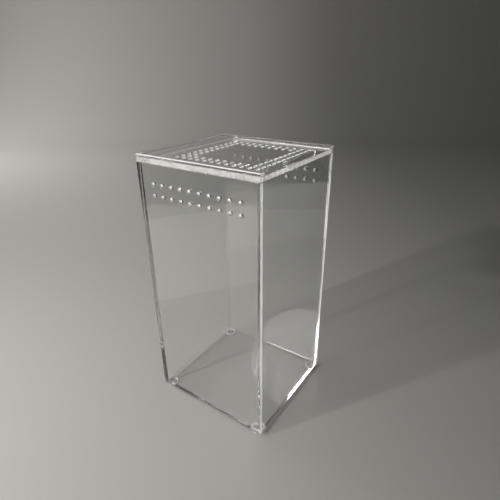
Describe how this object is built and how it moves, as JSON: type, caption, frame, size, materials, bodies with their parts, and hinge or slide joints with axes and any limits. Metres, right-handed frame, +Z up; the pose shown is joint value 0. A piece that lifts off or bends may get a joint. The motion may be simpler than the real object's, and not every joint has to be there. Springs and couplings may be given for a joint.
{
  "type": "acrylic terrarium",
  "caption": "Tall clear acrylic terrarium box with vent holes near the top of two walls, a vented lid that slides out between rails, and round bumper feet.",
  "frame": {"origin": "on the floor, under the middle of the case", "axes": "+Z up, +X the way the lid slides out, +Y from the vented front wall to the vented back wall"},
  "size_m": [0.1, 0.0954, 0.204],
  "materials": {
    "acrylic_sheet": "clear cast acrylic sheet, polished faces, bright cut edges",
    "acrylic_rail": "clear acrylic strip, polished faces, frosted cut edges",
    "acrylic_lid": "clear acrylic sheet with laser-cut vent holes",
    "bumper": "soft clear polyurethane, smooth dome"
  },
  "bodies": {
    "case": {"base_plate": "acrylic_sheet", "front_wall": "acrylic_sheet", "back_wall": "acrylic_sheet", "closed_end_wall": "acrylic_sheet", "mouth_end_wall": "acrylic_sheet", "rail_spacer_front": "acrylic_rail", "rail_spacer_back": "acrylic_rail", "rail_spacer_closed_end": "acrylic_rail", "rail_cover_front": "acrylic_rail", "rail_cover_back": "acrylic_rail", "rail_cover_closed_end": "acrylic_rail", "foot_front_closed": "bumper", "foot_front_mouth": "bumper", "foot_back_closed": "bumper", "foot_back_mouth": "bumper"},
    "lid": {"lid_plate": "acrylic_lid", "lid_pull": "acrylic_lid"}
  },
  "joints": [
    {"name": "lid_slide", "type": "slide", "parent": "case", "child": "lid", "axis": [1, 0, 0], "range_m": [0, 0.09]}
  ]
}
